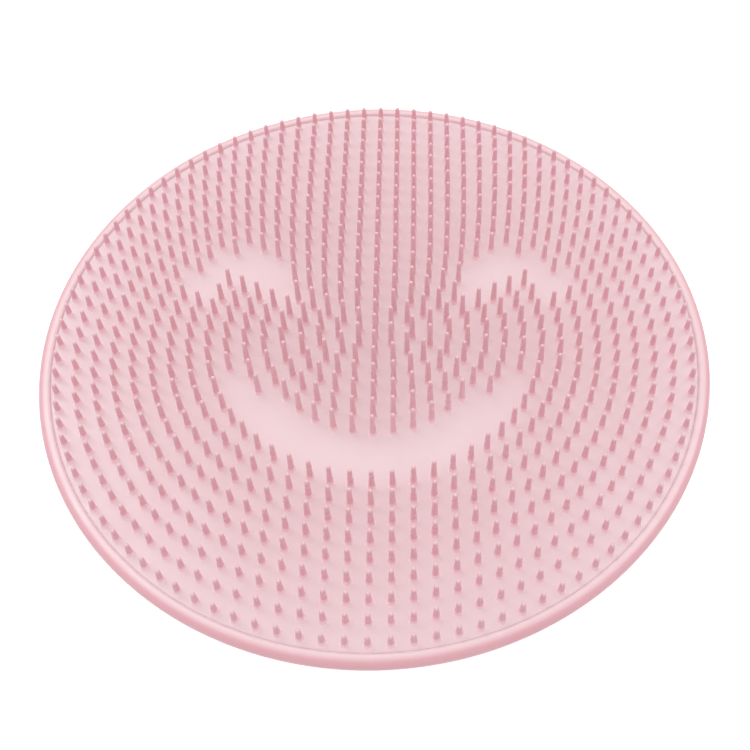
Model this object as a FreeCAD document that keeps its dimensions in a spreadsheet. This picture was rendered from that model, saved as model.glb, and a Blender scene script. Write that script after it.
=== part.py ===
"""Silicone facial cleansing pad: a bristled face in a rimmed back shell, held by a suction cup.

Millimetres, +Z up. The origin is the centre of the suction cup's rest plane, the bristles
point up, and -Y is the edge nearest the user, so the smile between the bristles is upright.
"""
import FreeCAD
import Part
import math
import os
import Sketcher

SIZES = {
    # disc: back shell with a rounded rim, and the face sheet that lies inside it
    "disc_radius": 40.0,
    "rim_width": 1.45,
    "rim_rise": 0.35,
    "edge_round": 0.8,
    "shell_floor": 0.7,
    "face_thickness": 0.75,
    "seam_gap": 0.15,
    "face_edge_chamfer": 0.2,
    # waisted neck that the fingers hold
    "neck_length": 9.0,
    "neck_end_radius": 6.5,
    "neck_waist_radius": 4.6,
    # suction cup: bell, sealing lip and pull tab
    "bell_height": 7.8,
    "bell_crown": 1.6,
    "bell_foot_inner": 15.0,
    "bell_foot_outer": 16.4,
    "bell_outer_arc": 26.0,
    "lip_radius": 19.5,
    "lip_inner_radius": 14.4,
    "lip_thickness": 1.2,
    "lip_edge": 0.5,
    "tab_width": 7.0,
    "tab_reach": 9.0,
    "tab_thickness": 0.8,
    "tab_lift": 0.25,
    "tab_hinge_gap": 0.3,
    "tab_hinge_radius": 21.4,
    "tab_root_round": 0.38,
    "tab_rib_length": 4.4,
    "tab_rib_width": 0.5,
    "tab_rib_height": 0.25,
    "tab_rib_pitch": 1.2,
    # bristles: concentric rings, each with six more bristles than the one inside it
    "ring_count": 17,
    "ring_step": 6,
    "ring_pitch": 2.2155,
    "bristle_centre_height": 5.1,
    "bristle_edge_height": 2.3,
    "bristle_foot_radius": 0.58,
    "bristle_foot_height": 0.36,
    "bristle_base_radius": 0.38,
    "bristle_tip_radius": 0.25,
    # bare zones of the smile: an arc of missing bristles, and two arched eyes
    "mouth_first_ring": 7,
    "mouth_last_ring": 8,
    "mouth_half_angle": 55.0,
    "mouth_angle_step": 15.0,
    "eye_across": 16.84,
    "eye_up": 5.1,
    "eye_inner_radius": 3.65,
    "eye_outer_radius": 7.09,
    "eye_cut": 0.89,
}

BELL_BASE = "Sizes.lip_thickness"
NECK_BASE = BELL_BASE + " + Sizes.bell_height"
SHELL_BASE = NECK_BASE + " + Sizes.neck_length"
FACE_BASE = SHELL_BASE + " + Sizes.shell_floor"
BRISTLE_BASE = FACE_BASE + " + Sizes.face_thickness"


def add_sheet(doc):
    """Put the driving dimensions in a spreadsheet, one row and one alias each."""
    sheet = doc.addObject("Spreadsheet::Sheet", "Sizes")
    for row, (name, value) in enumerate(SIZES.items(), start=1):
        sheet.set("A%d" % row, name)
        sheet.set("B%d" % row, str(value))
        sheet.setAlias("B%d" % row, name)
    doc.recompute()
    return sheet


def value_of(doc, expression):
    """Number that an expression of the sheet gives, in millimetres or degrees."""
    found = doc.Sizes.evalExpression(expression)
    return float(getattr(found, "Value", found))


def add_body(doc, label, base_expression=None):
    """A PartDesign body that stands at the height an expression gives."""
    body = doc.addObject("PartDesign::Body", label)
    body.Label = label
    if base_expression:
        body.setExpression("Placement.Base.z", base_expression)
    return body


def add_sketch(body, role, name):
    """A sketch on one of the body's own origin planes."""
    plane = next(f for f in body.Origin.OriginFeatures if f.Role == role)
    sketch = body.newObject("Sketcher::SketchObject", name)
    sketch.AttachmentSupport = [(plane, "")]
    sketch.MapMode = "FlatFace"
    return sketch


def pin_vertex(sketch, edge, vertex, across, up):
    """Tie a vertex to the sketch's origin by two distances read from the sheet."""
    for kind, expression in (("DistanceX", across), ("DistanceY", up)):
        number = value_of(sketch.Document, expression)
        index = sketch.addConstraint(
            Sketcher.Constraint(kind, -1, 1, edge, vertex, number))
        sketch.setExpression("Constraints[%d]" % index, expression)


def draw_outline(sketch, corners):
    """Closed outline through corners (across, up, bulge).

    The bulge belongs to the edge that leaves the corner: None for a straight edge, or
    (radius expression, side), where side is +1 when the arc's centre lies left of the edge.
    A half turn, whose chord is level, has its centre tied to the height of its ends.
    """
    doc = sketch.Document
    spots = [(value_of(doc, c[0]), value_of(doc, c[1])) for c in corners]
    count = len(corners)
    starts = []
    for i, (_, _, bulge) in enumerate(corners):
        start = FreeCAD.Vector(*spots[i], 0)
        end = FreeCAD.Vector(*spots[(i + 1) % count], 0)
        if bulge is None:
            edge = sketch.addGeometry(Part.LineSegment(start, end), False)
            starts.append((edge, 1, 2))
            continue
        radius = value_of(doc, bulge[0])
        chord = end - start
        left = FreeCAD.Vector(-chord.y, chord.x, 0).normalize()
        offset = math.sqrt(max(radius ** 2 - (chord.Length / 2) ** 2, 0.0))
        centre = start + chord / 2 + left * offset * bulge[1]
        circle = Part.Circle(centre, FreeCAD.Vector(0, 0, 1), radius)
        angles = [math.atan2(p.y - centre.y, p.x - centre.x) for p in (start, end)]
        if bulge[1] > 0:
            edge = sketch.addGeometry(Part.ArcOfCircle(circle, angles[0], angles[1]), False)
            starts.append((edge, 1, 2))
        else:
            edge = sketch.addGeometry(Part.ArcOfCircle(circle, angles[1], angles[0]), False)
            starts.append((edge, 2, 1))
        if offset < 1e-6:
            level = Sketcher.Constraint("DistanceY", -1, 1, edge, 3, centre.y)
            index = sketch.addConstraint(level)
            sketch.setExpression("Constraints[%d]" % index, corners[i][1])
            continue
        index = sketch.addConstraint(Sketcher.Constraint("Radius", edge, radius))
        sketch.setExpression("Constraints[%d]" % index, bulge[0])
    for i, (edge, first, last) in enumerate(starts):
        following, its_first, _ = starts[(i + 1) % count]
        sketch.addConstraint(
            Sketcher.Constraint("Coincident", edge, last, following, its_first))
        pin_vertex(sketch, edge, first, corners[i][0], corners[i][1])


def revolve(body, sketch):
    """Turn a sketch of the XZ plane once around the Z axis."""
    turned = body.newObject("PartDesign::Revolution", sketch.Name + "_turned")
    turned.Profile = sketch
    turned.ReferenceAxis = (sketch, ["V_Axis"])
    turned.Angle = 360
    sketch.Visibility = False
    return turned


def add_shell(doc):
    """Back shell: a thin floor and a rounded rim that stands above the face."""
    body = add_body(doc, "back_shell", SHELL_BASE)
    sketch = add_sketch(body, "XZ_Plane", "shell_profile")
    bead_foot = "Sizes.disc_radius - Sizes.rim_width"
    bead_up = ("Sizes.shell_floor + Sizes.face_thickness + Sizes.rim_rise"
               " - Sizes.rim_width / 2")
    draw_outline(sketch, [
        ("0", "0", None),
        ("Sizes.disc_radius - Sizes.edge_round", "0", ("Sizes.edge_round", 1)),
        ("Sizes.disc_radius", "Sizes.edge_round", None),
        ("Sizes.disc_radius", bead_up, ("Sizes.rim_width / 2", 1)),
        (bead_foot, bead_up, None),
        (bead_foot, "Sizes.shell_floor", None),
        ("0", "Sizes.shell_floor", None),
    ])
    revolve(body, sketch)
    return body


def add_face(doc):
    """Face sheet: the flat disc that carries the bristles, a hair smaller than the rim."""
    body = add_body(doc, "face_sheet", FACE_BASE)
    sketch = add_sketch(body, "XZ_Plane", "face_profile")
    edge = "Sizes.disc_radius - Sizes.rim_width - Sizes.seam_gap"
    draw_outline(sketch, [
        ("0", "0", None),
        (edge, "0", None),
        (edge, "Sizes.face_thickness - Sizes.face_edge_chamfer", None),
        (edge + " - Sizes.face_edge_chamfer", "Sizes.face_thickness", None),
        ("0", "Sizes.face_thickness", None),
    ])
    revolve(body, sketch)
    return body


def add_neck(doc):
    """Waisted neck between the shell's floor and the suction cup."""
    body = add_body(doc, "neck", NECK_BASE)
    sketch = add_sketch(body, "XZ_Plane", "neck_profile")
    sag = "(Sizes.neck_end_radius - Sizes.neck_waist_radius)"
    arc = "(Sizes.neck_length ^ 2 / 4 + %s ^ 2) / (2 * %s)" % (sag, sag)
    draw_outline(sketch, [
        ("0", "0", None),
        ("Sizes.neck_end_radius", "0", (arc, -1)),
        ("Sizes.neck_end_radius", "Sizes.neck_length", None),
        ("0", "Sizes.neck_length", None),
    ])
    revolve(body, sketch)
    return body


def add_bell(doc):
    """Bell of the suction cup: thick at the crown, thinner where it meets the lip."""
    body = add_body(doc, "cup_bell", BELL_BASE)
    sketch = add_sketch(body, "XZ_Plane", "bell_profile")
    crown = "(Sizes.bell_height - Sizes.bell_crown)"
    dome = "(Sizes.bell_foot_inner ^ 2 + %s ^ 2) / (2 * %s)" % (crown, crown)
    draw_outline(sketch, [
        ("Sizes.bell_foot_inner", "0", None),
        ("Sizes.bell_foot_outer", "0", ("Sizes.bell_outer_arc", 1)),
        ("Sizes.neck_end_radius", "Sizes.bell_height", None),
        ("0", "Sizes.bell_height", None),
        ("0", crown, (dome, -1)),
    ])
    revolve(body, sketch)
    return body


def add_lip(doc):
    """Sealing lip: a flat ring that thins outwards, with the ear the tab hangs on."""
    body = add_body(doc, "cup_lip")
    sketch = add_sketch(body, "XZ_Plane", "lip_profile")
    draw_outline(sketch, [
        ("Sizes.lip_inner_radius", "0", None),
        ("Sizes.lip_radius", "0", None),
        ("Sizes.lip_radius", "Sizes.lip_edge", None),
        ("Sizes.bell_foot_outer", "Sizes.lip_thickness", None),
        ("Sizes.lip_inner_radius", "Sizes.lip_thickness", None),
    ])
    revolve(body, sketch)
    ear = add_sketch(body, "YZ_Plane", "ear_profile")
    tip = "-Sizes.tab_hinge_radius + Sizes.tab_thickness / 2 + Sizes.tab_hinge_gap"
    root = "-Sizes.bell_foot_outer - 1"
    top = "Sizes.tab_lift + Sizes.tab_thickness"
    draw_outline(ear, [
        (tip, "Sizes.tab_lift", None),
        (root, "Sizes.tab_lift", None),
        (root, top, None),
        (tip, top, None),
    ])
    add_pad(body, ear, "Sizes.tab_width")
    return body


def add_pad(body, sketch, length):
    """Extrude a sketch the same distance to both sides of its plane."""
    pad = body.newObject("PartDesign::Pad", sketch.Name + "_pad")
    pad.Profile = sketch
    pad.SideType = "Symmetric"
    pad.setExpression("Length", length)
    sketch.Visibility = False
    return pad


def add_tab(doc):
    """Pull tab: a round-ended tongue with three grip ribs, hinged at the lip's ear."""
    lift = "Sizes.tab_lift + Sizes.tab_thickness / 2"
    body = add_body(doc, "pull_tab", lift)
    sketch = add_sketch(body, "XY_Plane", "tab_outline")
    half = "Sizes.tab_width / 2"
    root = "-Sizes.tab_hinge_radius + Sizes.tab_thickness / 2"
    shoulder = "-Sizes.tab_hinge_radius - Sizes.tab_reach + " + half
    draw_outline(sketch, [
        (half, root, None),
        ("-" + half, root, None),
        ("-" + half, shoulder, (half, 1)),
        (half, shoulder, None),
    ])
    pad = add_pad(body, sketch, "Sizes.tab_thickness")
    doc.recompute()
    root_line = value_of(doc, root)
    edges = []
    for number, edge in enumerate(pad.Shape.Edges, start=1):
        box = edge.BoundBox
        if abs(box.YMin - root_line) < 0.01 and box.YLength < 0.01 and box.XLength > 1:
            edges.append("Edge%d" % number)
    rounded = body.newObject("PartDesign::Fillet", "tab_root")
    rounded.Base = (pad, edges)
    rounded.setExpression("Radius", "Sizes.tab_root_round")
    ribs = add_sketch(body, "YZ_Plane", "rib_profile")
    top = "Sizes.tab_thickness / 2 + Sizes.tab_rib_height"
    for row in range(3):
        far = shoulder + " + %d * Sizes.tab_rib_pitch" % (row - 1)
        near = far + " + Sizes.tab_rib_width"
        draw_outline(ribs, [
            (far, "0", None),
            (near, "0", None),
            (near, top, None),
            (far, top, None),
        ])
    add_pad(body, ribs, "Sizes.tab_rib_length")
    return body


def bristle_height(sizes, radius):
    """Bristles are tallest at the centre and shorten evenly towards the rim."""
    rim_line = sizes.disc_radius - sizes.rim_width
    fall = sizes.bristle_centre_height - sizes.bristle_edge_height
    return sizes.bristle_centre_height - fall * radius / rim_line


def bristle(sizes, height):
    """One bristle standing on the origin: flared foot, tapered shaft, round tip."""
    tip = sizes.bristle_tip_radius
    rows = [
        (0, 0),
        (sizes.bristle_foot_radius, 0),
        (sizes.bristle_base_radius, sizes.bristle_foot_height),
        (tip, height - tip),
    ]
    points = [FreeCAD.Vector(across, 0, up) for across, up in rows]
    top = FreeCAD.Vector(0, 0, height)
    lean = math.sqrt(0.5) * tip
    middle = FreeCAD.Vector(lean, 0, height - tip + lean)
    edges = [Part.makeLine(a, b) for a, b in zip(points, points[1:])]
    edges.append(Part.Arc(points[-1], middle, top).toShape())
    edges.append(Part.makeLine(top, points[0]))
    outline = Part.Face(Part.Wire(edges))
    return outline.revolve(FreeCAD.Vector(), FreeCAD.Vector(0, 0, 1), 360)


def in_mouth(sizes, ring, angle):
    """The mouth leaves out the part of two rings that faces the user."""
    if not sizes.mouth_first_ring <= ring <= sizes.mouth_last_ring:
        return False
    spread = sizes.mouth_angle_step * (ring - sizes.mouth_first_ring)
    return abs(angle) <= sizes.mouth_half_angle + spread


def in_eye(sizes, x, y):
    """Each eye is the upper part of a round band, beside the centre line."""
    distance = math.hypot(abs(x) - sizes.eye_across, y - sizes.eye_up)
    inside = sizes.eye_inner_radius <= distance <= sizes.eye_outer_radius
    return inside and y >= sizes.eye_up + sizes.eye_cut


def ring_spots(sizes, ring):
    """Feet of one ring's bristles; angles count from the -Y direction."""
    count = int(sizes.ring_step * ring)
    radius = ring * sizes.ring_pitch
    spots = []
    for number in range(count):
        angle = 360.0 * number / count
        if angle > 180:
            angle -= 360
        turn = math.radians(angle - 90)
        x = radius * math.cos(turn)
        y = radius * math.sin(turn)
        if in_mouth(sizes, ring, angle) or in_eye(sizes, x, y):
            continue
        spots.append(FreeCAD.Vector(x, y, 0))
    return spots


def add_bristles(doc):
    """One node per ring, each a group of separate bristles that stand on the face."""
    sizes = doc.Sizes
    base = FreeCAD.Vector(0, 0, value_of(doc, BRISTLE_BASE))
    made = []
    for ring in range(int(sizes.ring_count) + 1):
        label = "bristle_ring_%02d" % ring if ring else "bristle_centre"
        spots = ring_spots(sizes, ring) if ring else [FreeCAD.Vector()]
        one = bristle(sizes, bristle_height(sizes, ring * sizes.ring_pitch))
        group = doc.addObject("Part::Feature", label)
        group.Label = label
        group.Shape = Part.makeCompound([one.translated(spot) for spot in spots])
        group.Placement = FreeCAD.Placement(base, FreeCAD.Rotation())
        made.append(group)
    return made


def check(doc, nodes):
    """Stop on any failed object or unsound shape before a file is written."""
    for item in doc.Objects:
        if "Invalid" in item.State or "Error" in item.State:
            raise RuntimeError("%s failed: %s" % (item.Name, item.State))
    for node in nodes:
        if node.Shape.isNull() or not node.Shape.isValid():
            raise RuntimeError("%s has no sound shape" % node.Label)


def main():
    doc = FreeCAD.newDocument("cleansing_pad")
    add_sheet(doc)
    nodes = [add_shell(doc), add_face(doc), add_neck(doc), add_bell(doc), add_lip(doc),
             add_tab(doc)]
    nodes += add_bristles(doc)
    doc.recompute()
    check(doc, nodes)
    os.makedirs("parts", exist_ok=True)
    for node in nodes:
        node.Shape.exportStep("parts/%s.step" % node.Label)


main()
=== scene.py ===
"""Looks of the silicone face pad: mouldings, bristles and soft studio light around the CAD frame.

Metres, +Z up, bristles up, -Y towards the viewer. Every piece is placed from the frame's nodes.
"""
import math
import random

import bmesh
import bpy
from mathutils import Matrix, Vector


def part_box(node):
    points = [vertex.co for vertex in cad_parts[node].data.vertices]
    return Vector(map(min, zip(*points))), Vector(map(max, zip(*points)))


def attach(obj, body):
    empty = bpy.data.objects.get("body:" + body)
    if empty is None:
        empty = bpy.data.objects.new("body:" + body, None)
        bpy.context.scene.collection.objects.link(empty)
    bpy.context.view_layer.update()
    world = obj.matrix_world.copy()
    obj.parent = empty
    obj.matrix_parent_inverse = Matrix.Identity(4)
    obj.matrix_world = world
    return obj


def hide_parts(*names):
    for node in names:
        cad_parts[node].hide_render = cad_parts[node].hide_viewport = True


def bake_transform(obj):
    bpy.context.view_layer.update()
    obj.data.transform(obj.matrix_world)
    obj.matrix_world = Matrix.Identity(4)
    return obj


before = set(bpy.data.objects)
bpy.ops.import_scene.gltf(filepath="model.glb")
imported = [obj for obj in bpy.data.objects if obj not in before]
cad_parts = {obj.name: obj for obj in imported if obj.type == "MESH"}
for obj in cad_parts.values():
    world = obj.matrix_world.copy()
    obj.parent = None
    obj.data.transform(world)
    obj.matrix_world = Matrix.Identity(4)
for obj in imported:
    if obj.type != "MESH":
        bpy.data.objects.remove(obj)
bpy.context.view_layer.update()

MM = 0.001
TURN = 2 * math.pi

# bristles
BRISTLE_SIDES = 14
FOOT_STEPS = 5
TIP_STEPS = 4
FOOT_RADIUS = 0.58 * MM
FOOT_RISE = 0.36 * MM
FOOT_CURVE = 2.8
SHAFT_RADIUS = 0.38 * MM
TIP_RADIUS = 0.25 * MM
SUNK = 0.03 * MM
LEAN_DEGREES = 0.7
INWARD_DEGREES = 2.5
# painted light: bristle feet are painted pale up to these heights above the face, lifting the
# shade round each foot
FOOT_PAINTED_LIGHT_START = 0.42 * MM
FOOT_PAINTED_LIGHT_END = 0.90 * MM
# painted light: the top of each bristle is painted paler, standing in for light shining through
# the thin tip
TIP_PAINTED_LIGHT_START = 0.05 * MM
TIP_PAINTED_LIGHT_END = 0.4 * MM
TIP_PAINTED_LIGHT = 0.35
# painted shade: shafts are painted deeper towards the rim; the central shafts are this much paler
SHAFT_PAINTED_SHADE_DEPTH = 0.26
LEAN_SEED = 7

# disc
DISC_SIDES = 256
SEAM_WIDTH = 0.08 * MM
SEAM_DEPTH = 0.05 * MM
RIM_FLAT_START = 1.12 * MM
RIM_FLAT_END = 0.90 * MM
RIM_FALL = 0.9 * MM
FACE_EDGE_ROUND = 0.05 * MM
RIM_WIDTH = 1.45 * MM
BACK_EDGE_ROUND = 0.8 * MM

# grip and suction cup
ROUND_SIDES = 96
CURVE_STEPS = 28
OVERLAP = 0.05 * MM
WAIST_RADIUS = 4.6 * MM
NECK_FILLET = 0.9 * MM
BELL_FOOT_OUTER = 16.4 * MM
BELL_FOOT_INNER = 15.0 * MM
BELL_CROWN = 1.6 * MM
BELL_ARC = 26.0 * MM
LIP_INNER = 14.4 * MM
LIP_EDGE = 0.5 * MM
LIP_ROUND = 0.15 * MM
TAB_THICKNESS = 0.8 * MM
TAB_ROUND = 0.3 * MM
EAR_ROUND = 0.22 * MM
HINGE_SKIN = 0.34 * MM
HINGE_STEPS = 16
RIB_LENGTH = 4.4 * MM
RIB_WIDTH = 0.5 * MM
RIB_PITCH = 1.2 * MM
RIB_SUNK = 0.02 * MM
RIB_STEPS = 16
RIB_SIDES = 8

# sizes of the silicone's uneven colour and surface, in features per metre
CLOUD_SCALE = 180.0
SPECK_SCALE = 5200.0
HAZE_SCALE = 420.0
FINE_SCALE = 9000.0
SOFT_SCALE = 900.0

# studio
FLOOR_HALF = 9.0
FLOOR_GAP = 0.02 * MM
FLOOR_GLOW = 0.45
DOME_STRENGTH = 1.255
KEY_POWER = 0.17
GLINT_POWER = 0.62
LAMP_TARGET = Vector((0, 0, 0.015))

# camera, measured from the middle of the face; the tilt is in degrees
CAMERA_LENS = 48.74
CAMERA_SHIFT = -0.0519
CAMERA_ACROSS = 4.63 * MM
CAMERA_AHEAD = -70.6 * MM
CAMERA_ABOVE = 100.36 * MM
CAMERA_TILT = 33.07

# levels and sizes read from the frame
FACE_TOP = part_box("face_sheet")[1].z
DISC_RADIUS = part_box("back_shell")[1].x
CENTRE_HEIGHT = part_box("bristle_centre")[1].z - FACE_TOP
EDGE_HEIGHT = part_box("bristle_ring_17")[1].z - FACE_TOP
EDGE_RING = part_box("bristle_ring_17")[1].x - FOOT_RADIUS


# ---------------------------------------------------------------- outlines

def arc(centre, radius, start, end, steps):
    """Points of a round stretch of an outline; angles in degrees, 0 outwards, 90 up."""
    points = []
    for step in range(steps + 1):
        angle = math.radians(start + (end - start) * step / steps)
        points.append((centre[0] + radius * math.cos(angle),
                       centre[1] + radius * math.sin(angle)))
    return points


def arc_through(start, end, radius, side, steps):
    """Arc of a given radius between two points; side +1 has its centre left of the chord."""
    chord = Vector((end[0] - start[0], end[1] - start[1]))
    left = Vector((-chord.y, chord.x)).normalized()
    offset = math.sqrt(radius ** 2 - (chord.length / 2) ** 2)
    centre = Vector(start) + chord / 2 + left * offset * side
    first = math.atan2(start[1] - centre.y, start[0] - centre.x)
    last = math.atan2(end[1] - centre.y, end[0] - centre.x)
    turn = (last - first + math.pi) % TURN - math.pi
    return arc(centre, radius, math.degrees(first), math.degrees(first + turn), steps)


def finish_mesh(name, shape, smooth=True):
    """Turn a bmesh into an object with outward faces."""
    bmesh.ops.recalc_face_normals(shape, faces=shape.faces)
    for face in shape.faces:
        face.smooth = smooth
    mesh = bpy.data.meshes.new(name)
    shape.to_mesh(mesh)
    shape.free()
    piece = bpy.data.objects.new(name, mesh)
    bpy.context.scene.collection.objects.link(piece)
    return piece


def add_rings(shape, outline, sides, place=Matrix.Identity(4)):
    """Turn an outline of (radius, height) points around Z; ends on the axis close in a point."""
    rings = []
    for across, up in outline:
        if across < 1e-7:
            rings.append([shape.verts.new(place @ Vector((0, 0, up)))])
            continue
        rings.append([
            shape.verts.new(place @ Vector((
                across * math.cos(TURN * side / sides),
                across * math.sin(TURN * side / sides),
                up)))
            for side in range(sides)])
    for lower, upper in zip(rings, rings[1:]):
        for side in range(sides):
            after = (side + 1) % sides
            if len(lower) == 1:
                shape.faces.new((lower[0], upper[side], upper[after]))
            elif len(upper) == 1:
                shape.faces.new((lower[side], lower[after], upper[0]))
            else:
                shape.faces.new((lower[side], lower[after], upper[after], upper[side]))
    return rings


def lathe(name, outline, sides, closed=False):
    """A turned piece; a closed outline makes a ring with no point on the axis."""
    shape = bmesh.new()
    if closed:
        outline = outline + outline[:1]
    rings = add_rings(shape, outline, sides)
    if closed:
        bmesh.ops.weld_verts(shape, targetmap=dict(zip(rings[-1], rings[0])))
    return finish_mesh(name, shape)


# ---------------------------------------------------------------- materials

def node(tree, kind, **settings):
    made = tree.nodes.new(kind)
    for name, value in settings.items():
        if name in made.inputs:
            made.inputs[name].default_value = value
        else:
            setattr(made, name, value)
    return made


def ramp(tree, fed_by, stops):
    """Colour ramp with stops (position, colour)."""
    made = tree.nodes.new("ShaderNodeValToRGB")
    elements = made.color_ramp.elements
    while len(elements) < len(stops):
        elements.new(0.5)
    for element, (position, colour) in zip(elements, stops):
        element.position = position
        element.color = (*colour, 1)
    tree.links.new(fed_by, made.inputs[0])
    return made.outputs[0]


def mixed(tree, share, first, second, mode="MIX"):
    """Mix two colours; each of the three inputs is a socket or a constant."""
    made = tree.nodes.new("ShaderNodeMix")
    made.data_type = "RGBA"
    made.blend_type = mode
    for socket, value in ((made.inputs[0], share), (made.inputs[6], first),
                          (made.inputs[7], second)):
        if isinstance(value, bpy.types.NodeSocket):
            tree.links.new(value, socket)
        elif isinstance(value, float):
            socket.default_value = value
        else:
            socket.default_value = (*value, 1)
    return made.outputs[2]


def scaled(tree, value, low, high, to_low, to_high):
    """Map a number from one range to another, clamped."""
    made = tree.nodes.new("ShaderNodeMapRange")
    for socket, number in zip(made.inputs[1:5], (low, high, to_low, to_high)):
        socket.default_value = number
    tree.links.new(value, made.inputs[0])
    return made.outputs[0]


def noise(tree, place, scale, detail=3.0):
    made = node(tree, "ShaderNodeTexNoise", Scale=scale, Detail=detail, Roughness=0.55)
    tree.links.new(place, made.inputs["Vector"])
    return made.outputs[0]


def silicone(name, deep, plain, pale, tone, roughness, grain=0.012, scatter=0.15):
    """Soft moulded silicone.

    tone builds a 0 to 1 socket from the object coordinates, which runs from the colour deep
    over plain to pale; grain is the height of the surface's fine bumps in mm.
    """
    material = bpy.data.materials.new(name)
    material.use_nodes = True
    tree = material.node_tree
    tree.nodes.clear()
    place = node(tree, "ShaderNodeTexCoord").outputs["Object"]
    shader = node(tree, "ShaderNodeBsdfPrincipled")
    output = node(tree, "ShaderNodeOutputMaterial")
    tree.links.new(shader.outputs[0], output.inputs[0])

    colour = ramp(tree, tone(tree, place), ((0.0, deep), (0.5, plain), (1.0, pale)))
    cloud = noise(tree, place, CLOUD_SCALE, detail=4.0)
    colour = mixed(tree, scaled(tree, cloud, 0.35, 0.65, 0.0, 0.5), colour,
                   (0.985, 0.94, 0.95), "MULTIPLY")
    speck = noise(tree, place, SPECK_SCALE, detail=1.0)
    colour = mixed(tree, scaled(tree, speck, 0.62, 0.80, 0.0, 0.22), colour, pale)
    tree.links.new(colour, shader.inputs["Base Color"])

    haze = noise(tree, place, HAZE_SCALE, detail=5.0)
    tree.links.new(scaled(tree, haze, 0.3, 0.7, roughness - 0.06, roughness + 0.07),
                   shader.inputs["Roughness"])

    fine = noise(tree, place, FINE_SCALE, detail=2.0)
    soft = noise(tree, place, SOFT_SCALE, detail=2.0)
    fine_bump = node(tree, "ShaderNodeBump", Strength=0.35, Distance=grain * MM)
    soft_bump = node(tree, "ShaderNodeBump", Strength=0.4, Distance=3 * grain * MM)
    tree.links.new(fine, fine_bump.inputs["Height"])
    tree.links.new(soft, soft_bump.inputs["Height"])
    tree.links.new(fine_bump.outputs[0], soft_bump.inputs["Normal"])
    tree.links.new(soft_bump.outputs[0], shader.inputs["Normal"])

    shader.inputs["IOR"].default_value = 1.42
    shader.inputs["Specular IOR Level"].default_value = 0.5
    shader.inputs["Subsurface Weight"].default_value = scatter
    shader.inputs["Subsurface Radius"].default_value = (1.0, 0.42, 0.42)
    shader.inputs["Subsurface Scale"].default_value = 0.9 * MM
    shader.inputs["Sheen Weight"].default_value = 0.06
    shader.inputs["Sheen Roughness"].default_value = 0.5
    return material


def by_height(low, high, from_tone, to_tone):
    """Tone that runs with the height between two levels."""
    def tone(tree, place):
        parts = node(tree, "ShaderNodeSeparateXYZ")
        tree.links.new(place, parts.inputs[0])
        return scaled(tree, parts.outputs[2], low, high, from_tone, to_tone)
    return tone


def across_and_up(tree, place):
    """Sockets for the distance from the pad's axis and for the height."""
    parts = node(tree, "ShaderNodeSeparateXYZ")
    flat = node(tree, "ShaderNodeCombineXYZ")
    length = node(tree, "ShaderNodeVectorMath", operation="LENGTH")
    tree.links.new(place, parts.inputs[0])
    tree.links.new(parts.outputs[0], flat.inputs[0])
    tree.links.new(parts.outputs[1], flat.inputs[1])
    tree.links.new(flat.outputs[0], length.inputs[0])
    return length.outputs[1], parts.outputs[2]


def by_radius(inner, outer, from_tone, to_tone):
    """Tone that runs with the distance from the pad's axis."""
    def tone(tree, place):
        across, _ = across_and_up(tree, place)
        return scaled(tree, across, inner, outer, from_tone, to_tone)
    return tone


def calculated(tree, operation, first, second):
    """One sum on two numbers; each is a socket or a constant."""
    made = node(tree, "ShaderNodeMath", operation=operation)
    for socket, value in zip(made.inputs, (first, second)):
        if isinstance(value, bpy.types.NodeSocket):
            tree.links.new(value, socket)
        else:
            socket.default_value = value
    return made.outputs[0]


def bristle_painted_light_and_shade(tree, place):
    """Tone of a bristle, painted light and shade: a pale foot and a slightly pale tip as painted
    light, and a shaft painted deepest near the rim as painted shade.
    """
    across, up = across_and_up(tree, place)
    tip = scaled(tree, across, 0.0, EDGE_RING, FACE_TOP + CENTRE_HEIGHT,
                 FACE_TOP + EDGE_HEIGHT)
    below_tip = calculated(tree, "SUBTRACT", tip, up)
    # painted light: the foot is painted pale, lifting the shade where the bristle meets the face
    painted_foot_light = scaled(tree, up, FACE_TOP + FOOT_PAINTED_LIGHT_START, FACE_TOP + FOOT_PAINTED_LIGHT_END,
                       1.0, 0.0)
    # painted light: paler tip for light shining through it
    painted_tip_light = scaled(tree, below_tip, TIP_PAINTED_LIGHT_START, TIP_PAINTED_LIGHT_END, TIP_PAINTED_LIGHT, 0.0)
    # painted shade: shafts deepen towards the rim
    painted_shaft_shade = scaled(tree, across, 0.0, EDGE_RING, SHAFT_PAINTED_SHADE_DEPTH, 0.0)
    return calculated(tree, "MAXIMUM", painted_foot_light,
                      calculated(tree, "MAXIMUM", painted_tip_light, painted_shaft_shade))


def dress(piece, material, body=None, stands_for=()):
    """Give a new piece its material, its body and the CAD nodes it stands for."""
    piece.data.materials.clear()
    piece.data.materials.append(material)
    if body:
        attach(piece, body)
    if stands_for:
        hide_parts(*stands_for)
    return piece


# ---------------------------------------------------------------- disc

def make_face():
    """Flat sheet that carries the bristles; the groove round its edge is the seam's line."""
    low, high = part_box("face_sheet")
    rim = DISC_RADIUS - RIM_WIDTH
    edge = rim + 0.04 * MM
    crest = rim - SEAM_WIDTH
    corner = arc((crest - FACE_EDGE_ROUND, high.z - FACE_EDGE_ROUND), FACE_EDGE_ROUND,
                 90, 0, 6)
    outline = [(0, high.z)]
    outline += [(crest * share, high.z) for share in (0.2, 0.4, 0.6, 0.8, 0.95)]
    outline += corner
    outline += [(crest, high.z - SEAM_DEPTH), (edge, high.z - SEAM_DEPTH), (edge, low.z),
                (0, low.z)]
    return lathe("pad_face", outline, DISC_SIDES)


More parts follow.
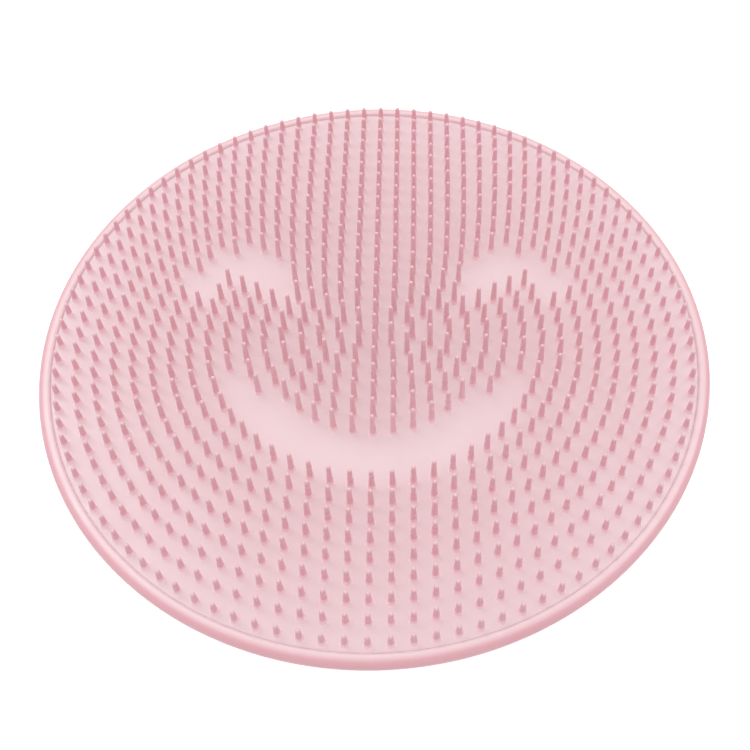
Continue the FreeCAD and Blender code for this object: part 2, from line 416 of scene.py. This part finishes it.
def make_back():
    """Back shell: flat underside, rounded outer wall and a low, rounded rim above the face."""
    low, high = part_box("back_shell")
    floor, face = (corner.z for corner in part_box("face_sheet"))
    outer = high.x
    under = [(0, low.z)]
    under += [(outer * share, low.z) for share in (0.18, 0.4, 0.6, 0.8, 0.93)]
    lower = arc((outer - BACK_EDGE_ROUND, low.z + BACK_EDGE_ROUND), BACK_EDGE_ROUND,
                -90, 0, 10)
    shoulder = [(outer - RIM_FLAT_END * (1 - across), high.z - RIM_FALL * (1 - up))
                for across, up in arc((0, 0), 1.0, 0, 90, 12)]
    inward = RIM_WIDTH - RIM_FLAT_START
    inner = [(outer - RIM_FLAT_START + inward * across, face + (high.z - face) * up)
             for across, up in arc((0, 0), 1.0, 90, 180, 8)]
    outline = under + lower + shoulder + inner + [(outer - RIM_WIDTH, floor), (0, floor)]
    return lathe("pad_back", outline, DISC_SIDES)


# ---------------------------------------------------------------- bristles

def bristle_spots(name):
    """Places of one ring's bristles, read from the tops of the CAD node's bristles."""
    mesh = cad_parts[name].data
    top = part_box(name)[1].z
    spots = {(round(v.co.x, 5), round(v.co.y, 5))
             for v in mesh.vertices if top - v.co.z < 1e-6}
    return sorted(spots)


def bristle_outline(height):
    """Flared foot that runs into the face, tapered shaft and round tip."""
    flare = FOOT_RADIUS - SHAFT_RADIUS
    foot = []
    for step in range(FOOT_STEPS + 1):
        share = step / FOOT_STEPS
        foot.append((FOOT_RADIUS - flare * share, FOOT_RISE * share ** FOOT_CURVE))
    outline = [(FOOT_RADIUS + SUNK, -SUNK)] + foot
    shoulder = height - TIP_RADIUS
    for share in (0.25, 0.5, 0.75):
        outline.append((SHAFT_RADIUS + (TIP_RADIUS - SHAFT_RADIUS) * share,
                        FOOT_RISE + (shoulder - FOOT_RISE) * share))
    outline += arc((0, shoulder), TIP_RADIUS, 0, 90, TIP_STEPS)[:-1]
    outline.append((0, height))
    return outline


def make_bristles(name, randomness):
    """One ring of bristles; all lean a little towards the axis, each with its own error."""
    low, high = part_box(name)
    outline = bristle_outline(high.z - low.z)
    shape = bmesh.new()
    for x, y in bristle_spots(name):
        inward = Vector((y, -x, 0)) * math.radians(INWARD_DEGREES) / EDGE_RING
        heading = TURN * randomness.random()
        error = Vector((math.cos(heading), math.sin(heading), 0))
        error *= math.radians(LEAN_DEGREES) * randomness.random()
        lean = inward + error
        place = Matrix.Translation((x, y, low.z)) @ Matrix.Rotation(lean.length, 4, lean)
        place = place @ Matrix.Rotation(TURN * randomness.random(), 4, "Z")
        add_rings(shape, outline, BRISTLE_SIDES, place)
    return finish_mesh(name.replace("bristle", "bristles"), shape)


# ---------------------------------------------------------------- grip and suction cup

def make_neck():
    """Waisted grip that flares into the disc."""
    low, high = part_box("neck")
    middle = (low.z + high.z) / 2
    length = high.z - low.z
    depth = high.x - WAIST_RADIUS
    radius = (length ** 2 / 4 + depth ** 2) / (2 * depth)
    waist = arc_through((high.x, low.z), (high.x, high.z), radius, -1, CURVE_STEPS)
    outline = [(0, low.z - OVERLAP), (high.x + 0.1 * MM, low.z - OVERLAP)]
    for across, up in waist:
        share = abs(up - middle) / (length / 2)
        flare = NECK_FILLET * max(0.0, (share - 0.72) / 0.28) ** 3
        outline.append((across + flare * (up > middle), up))
    outline += [(high.x + NECK_FILLET, high.z + OVERLAP), (0, high.z + OVERLAP)]
    return lathe("grip_neck", outline, ROUND_SIDES)


def make_bell():
    """Thin-walled bell of the suction cup, thick at its crown."""
    low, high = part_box("cup_bell")
    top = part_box("neck")[0].z
    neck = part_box("neck")[1].x
    crown = high.z - BELL_CROWN
    rise = crown - low.z
    dome = (BELL_FOOT_INNER ** 2 + rise ** 2) / (2 * rise)
    outer = arc_through((BELL_FOOT_OUTER, low.z), (neck, top), BELL_ARC, 1, CURVE_STEPS)
    outer = [(BELL_FOOT_OUTER, low.z - OVERLAP)] + outer + [(0, top)]
    inner = arc_through((0, crown), (BELL_FOOT_INNER, low.z), dome, -1, CURVE_STEPS)
    inner.append((BELL_FOOT_INNER, low.z - OVERLAP))
    shape = bmesh.new()
    outside = add_rings(shape, outer, ROUND_SIDES)
    inside = add_rings(shape, inner, ROUND_SIDES)
    for side in range(ROUND_SIDES):
        after = (side + 1) % ROUND_SIDES
        shape.faces.new((outside[0][side], outside[0][after],
                         inside[-1][after], inside[-1][side]))
    return finish_mesh("cup_dome", shape)


def make_lip():
    """Sealing lip: a ring that thins outwards to a rounded edge."""
    low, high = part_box("cup_lip")
    outer = high.x
    edge = LIP_EDGE / 2
    outline = [(LIP_INNER + LIP_ROUND, low.z), (outer - edge - 0.6 * MM, low.z)]
    outline += arc((outer - edge, low.z + edge), edge, -90, 75, 10)
    outline += [(BELL_FOOT_OUTER + 1.2 * MM, high.z - 0.24 * MM),
                (BELL_FOOT_OUTER + 0.3 * MM, high.z - 0.04 * MM),
                (BELL_FOOT_OUTER - 0.2 * MM, high.z + OVERLAP),
                (BELL_FOOT_INNER + 0.2 * MM, high.z + OVERLAP),
                (BELL_FOOT_INNER - 0.1 * MM, high.z)]
    outline += arc((LIP_INNER + LIP_ROUND, high.z - LIP_ROUND), LIP_ROUND, 90, 180, 4)
    outline += arc((LIP_INNER + LIP_ROUND, low.z + LIP_ROUND), LIP_ROUND, 180, 270, 4)[:-1]
    return lathe("cup_seal", outline, ROUND_SIDES * 2, closed=True)


def block(name, corners, low, high, rounding):
    """A slab with a given outline, rounded along all its edges."""
    shape = bmesh.new()
    bottom = [shape.verts.new((x, y, low)) for x, y in corners]
    base = shape.faces.new(bottom)
    grown = bmesh.ops.extrude_face_region(shape, geom=[base])
    for item in grown["geom"]:
        if isinstance(item, bmesh.types.BMVert):
            item.co.z = high
    piece = finish_mesh(name, shape)
    bevel = piece.modifiers.new("round", "BEVEL")
    bevel.width = rounding
    bevel.segments = 4
    bevel.limit_method = "ANGLE"
    bevel.angle_limit = math.radians(40)
    return piece


def make_ear():
    """Ear on the lip that the pull tab hangs on."""
    low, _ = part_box("cup_lip")
    tab_low, tab_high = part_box("pull_tab")
    half = tab_high.x
    root = -BELL_FOOT_OUTER - 0.6 * MM
    return block("cup_ear", [(-half, low.y), (half, low.y), (half, root), (-half, root)],
                 tab_low.z, tab_low.z + TAB_THICKNESS, EAR_ROUND)


def make_tab():
    """Round-ended pull tab."""
    low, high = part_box("pull_tab")
    half = high.x
    shoulder = low.y + half
    outline = [(-half, high.y)] + arc((0, shoulder), half, 180, 360, 32) + [(half, high.y)]
    return block("tab_tongue", outline, low.z, low.z + TAB_THICKNESS, TAB_ROUND)


def make_ribs():
    """Three grip ribs across the tab."""
    low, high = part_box("pull_tab")
    shape = bmesh.new()
    shoulder = low.y + high.x
    half = RIB_LENGTH / 2
    top = low.z + TAB_THICKNESS
    for row in range(3):
        centre = shoulder + (row - 1) * RIB_PITCH + RIB_WIDTH / 2
        sections = []
        for step in range(RIB_STEPS + 1):
            share = -1 + 2 * step / RIB_STEPS
            swell = math.sqrt(max(0.0, 1 - abs(share) ** 6))
            x = half * share
            sections.append([
                shape.verts.new((x, centre + RIB_WIDTH / 2 * swell * math.cos(angle),
                                 top - RIB_SUNK + (high.z - top + RIB_SUNK) * swell
                                 * math.sin(angle)))
                for angle in [math.pi * side / RIB_SIDES for side in range(RIB_SIDES + 1)]])
        for one, following in zip(sections, sections[1:]):
            for side in range(RIB_SIDES):
                shape.faces.new((one[side], one[side + 1], following[side + 1],
                                 following[side]))
            shape.faces.new((one[-1], one[0], following[0], following[-1]))
    bmesh.ops.remove_doubles(shape, verts=shape.verts, dist=1e-6)
    bmesh.ops.dissolve_degenerate(shape, edges=shape.edges, dist=1e-7)
    return finish_mesh("tab_ribs", shape)


def make_hinge_skin():
    """Thin living hinge between the ear and the tab."""
    low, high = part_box("pull_tab")
    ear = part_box("cup_lip")[0].y
    half = high.x - 0.25 * MM
    middle = low.z + TAB_THICKNESS / 2
    start = ear + 0.35 * MM
    end = high.y - 0.45 * MM
    shape = bmesh.new()
    rows = []
    for step in range(HINGE_STEPS + 1):
        y = start + (end - start) * step / HINGE_STEPS
        rows.append([shape.verts.new((x, y, middle + up)) for x, up in (
            (-half, -HINGE_SKIN / 2), (half, -HINGE_SKIN / 2),
            (half, HINGE_SKIN / 2), (-half, HINGE_SKIN / 2))])
    for one, following in zip(rows, rows[1:]):
        for side in range(4):
            after = (side + 1) % 4
            shape.faces.new((one[side], one[after], following[after], following[side]))
    shape.faces.new(rows[0])
    shape.faces.new(rows[-1])
    return finish_mesh("tab_hinge", shape, smooth=False)


# ---------------------------------------------------------------- studio

def make_floor():
    """Plain white floor that glows a little and throws no light back on the pad."""
    shape = bmesh.new()
    bmesh.ops.create_grid(shape, x_segments=8, y_segments=8, size=FLOOR_HALF)
    floor = finish_mesh("studio_floor", shape)
    floor.location.z = -FLOOR_GAP
    floor.visible_diffuse = False
    material = bpy.data.materials.new("studio_floor")
    material.use_nodes = True
    tree = material.node_tree
    shader = tree.nodes["Principled BSDF"]
    place = node(tree, "ShaderNodeTexCoord").outputs["Object"]
    tint = mixed(tree, noise(tree, place, 6.0), (0.90, 0.895, 0.89), (0.93, 0.93, 0.93))
    tree.links.new(tint, shader.inputs["Base Color"])
    shader.inputs["Roughness"].default_value = 0.9
    shader.inputs["Specular IOR Level"].default_value = 0.1
    shader.inputs["Emission Color"].default_value = (1, 1, 1, 1)
    shader.inputs["Emission Strength"].default_value = FLOOR_GLOW
    floor.data.materials.append(material)


def make_lamp(name, place, size, power):
    """Round lamp that shines on the pad."""
    lamp = bpy.data.lights.new(name, "AREA")
    lamp.shape = "DISK"
    lamp.size = size
    lamp.energy = power
    holder = bpy.data.objects.new(name, lamp)
    holder.location = place
    holder.rotation_euler = (LAMP_TARGET - Vector(place)).to_track_quat("-Z", "Y").to_euler()
    bpy.context.scene.collection.objects.link(holder)
    return holder


def make_light():
    """Even, bright studio: a white dome, brighter behind, a faint key and two glint lights."""
    world = bpy.data.worlds.new("studio")
    world.use_nodes = True
    tree = world.node_tree
    place = node(tree, "ShaderNodeTexCoord").outputs["Generated"]
    parts = node(tree, "ShaderNodeSeparateXYZ")
    tree.links.new(place, parts.inputs[0])
    rise = scaled(tree, parts.outputs[2], -0.35, 1.0, 0.0, 0.6)
    behind = scaled(tree, parts.outputs[1], -1.0, 1.0, 0.0, 0.4)
    sky = ramp(tree, calculated(tree, "ADD", rise, behind),
               ((0.0, (0.56, 0.56, 0.56)), (0.30, (0.58, 0.58, 0.58)), (1.0, (1.0, 1.0, 1.0))))
    tree.links.new(sky, tree.nodes["Background"].inputs[0])
    tree.nodes["Background"].inputs[1].default_value = DOME_STRENGTH
    bpy.context.scene.world = world
    make_lamp("soft_key", (-0.16, 0.16, 0.38), 0.30, KEY_POWER)
    for name, side in (("left_glint", -0.20), ("right_glint", 0.22)):
        glint = make_lamp(name, (side, 0.12, 0.33), 0.06, GLINT_POWER)
        glint.visible_diffuse = False


def make_camera():
    """Camera ahead of the pad, looking down on it across the near rim."""
    camera = bpy.data.cameras.new("camera")
    camera.sensor_width = 36
    camera.lens = CAMERA_LENS
    camera.shift_x = CAMERA_SHIFT
    camera.clip_start = 0.01
    camera.clip_end = 10
    holder = bpy.data.objects.new("camera", camera)
    holder.location = (CAMERA_ACROSS, CAMERA_AHEAD, FACE_TOP + CAMERA_ABOVE)
    holder.rotation_euler = (math.radians(CAMERA_TILT), 0, 0)
    bpy.context.scene.collection.objects.link(holder)
    bpy.context.scene.camera = holder


# painted light: the face is painted paler towards the middle, lifting the shade of the tall, dense
# central bristles
face_silicone = silicone(
    "face_silicone", (0.82, 0.61, 0.635), (0.848, 0.672, 0.692), (0.87, 0.72, 0.735),
    by_radius(0.0, 0.4 * DISC_RADIUS, 0.9, 0.44), roughness=0.5, scatter=0.03)
# painted shade: the shell's colour deepens over its outermost millimetre, darkening the rim's
# outer flank
shell_silicone = silicone(
    "shell_silicone", (0.815, 0.45, 0.50), (0.85, 0.61, 0.64), (0.90, 0.73, 0.745),
    by_radius(DISC_RADIUS - 1.10 * MM, DISC_RADIUS - 0.50 * MM, 0.78, 0.0),
    roughness=0.42)
# painted light and shade: deep is the painted shade of shafts near the rim, pale the painted light
# of feet and tips
bristle_silicone = silicone(
    "bristle_silicone", (0.80, 0.455, 0.515), (0.885, 0.635, 0.665), (0.97, 0.74, 0.775),
    bristle_painted_light_and_shade, roughness=0.27, grain=0.006, scatter=0.03)
cup_silicone = silicone(
    "cup_silicone", (0.80, 0.53, 0.56), (0.84, 0.60, 0.63), (0.90, 0.69, 0.71),
    by_height(0.0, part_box("neck")[1].z, 0.6, 0.4), roughness=0.4)

dress(make_face(), face_silicone, "pad", ["face_sheet"])
dress(make_back(), shell_silicone, "pad", ["back_shell"])
dice = random.Random(LEAN_SEED)
for bristle_node in sorted(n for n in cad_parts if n.startswith("bristle")):
    dress(make_bristles(bristle_node, dice), bristle_silicone, "pad",
          [bristle_node])
dress(make_neck(), shell_silicone, "pad", ["neck"])
bell = dress(make_bell(), cup_silicone, stands_for=["cup_bell"])
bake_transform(bell)
dress(make_lip(), cup_silicone, "cup", ["cup_lip"])
dress(make_ear(), cup_silicone, "cup")
dress(make_tab(), cup_silicone, "tab", ["pull_tab"])
dress(make_ribs(), cup_silicone, "tab")
skin = dress(make_hinge_skin(), cup_silicone)
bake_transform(skin)

make_floor()
make_light()
make_camera()
bpy.context.scene.view_settings.view_transform = "Standard"
bpy.context.scene.view_settings.look = "None"
